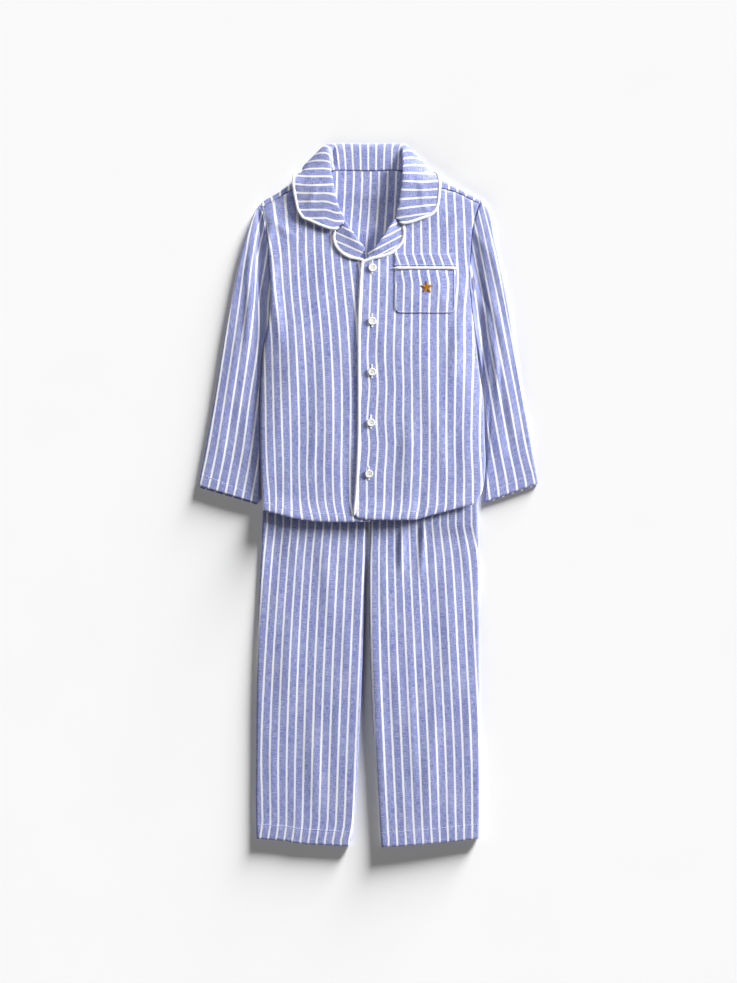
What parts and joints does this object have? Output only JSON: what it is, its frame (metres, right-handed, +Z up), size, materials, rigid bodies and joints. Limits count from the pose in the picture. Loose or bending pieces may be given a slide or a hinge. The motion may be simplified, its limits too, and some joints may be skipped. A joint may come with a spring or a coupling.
{
  "type": "pyjama set",
  "caption": "Striped pyjama set laid flat: a long-sleeved shirt with a notched collar, piping, buttons and a chest pocket, over the top of straight trousers.",
  "frame": {"origin": "centre of the set's box, on the surface that it lies on", "axes": "+Y from the trouser hems to the collar, +X to the wearer's left, +Z up from the surface"},
  "size_m": [0.4924, 1.0172, 0.0191],
  "materials": {
    "striped_cotton": "brushed cotton, matt, with white stripes",
    "white_piping": "plain white cotton piping, matt",
    "button": "off-white moulded polyester, soft gloss"
  },
  "bodies": {
    "root": {"shirt_back": "striped_cotton", "front_right": "striped_cotton", "front_left": "striped_cotton", "sleeve_right": "striped_cotton", "sleeve_left": "striped_cotton", "collar": "striped_cotton", "lapel_right": "striped_cotton", "lapel_left": "striped_cotton", "pocket": "striped_cotton", "pocket_band": "striped_cotton", "leg_back_right": "striped_cotton", "leg_back_left": "striped_cotton", "leg_front_right": "striped_cotton", "leg_front_left": "striped_cotton", "waistband": "striped_cotton", "collar_piping_right": "white_piping", "collar_piping_left": "white_piping", "front_piping_right": "white_piping", "front_piping_left": "white_piping", "pocket_piping": "white_piping", "button_1": "button", "button_2": "button", "button_3": "button", "button_4": "button", "button_5": "button"}
  },
  "joints": []
}
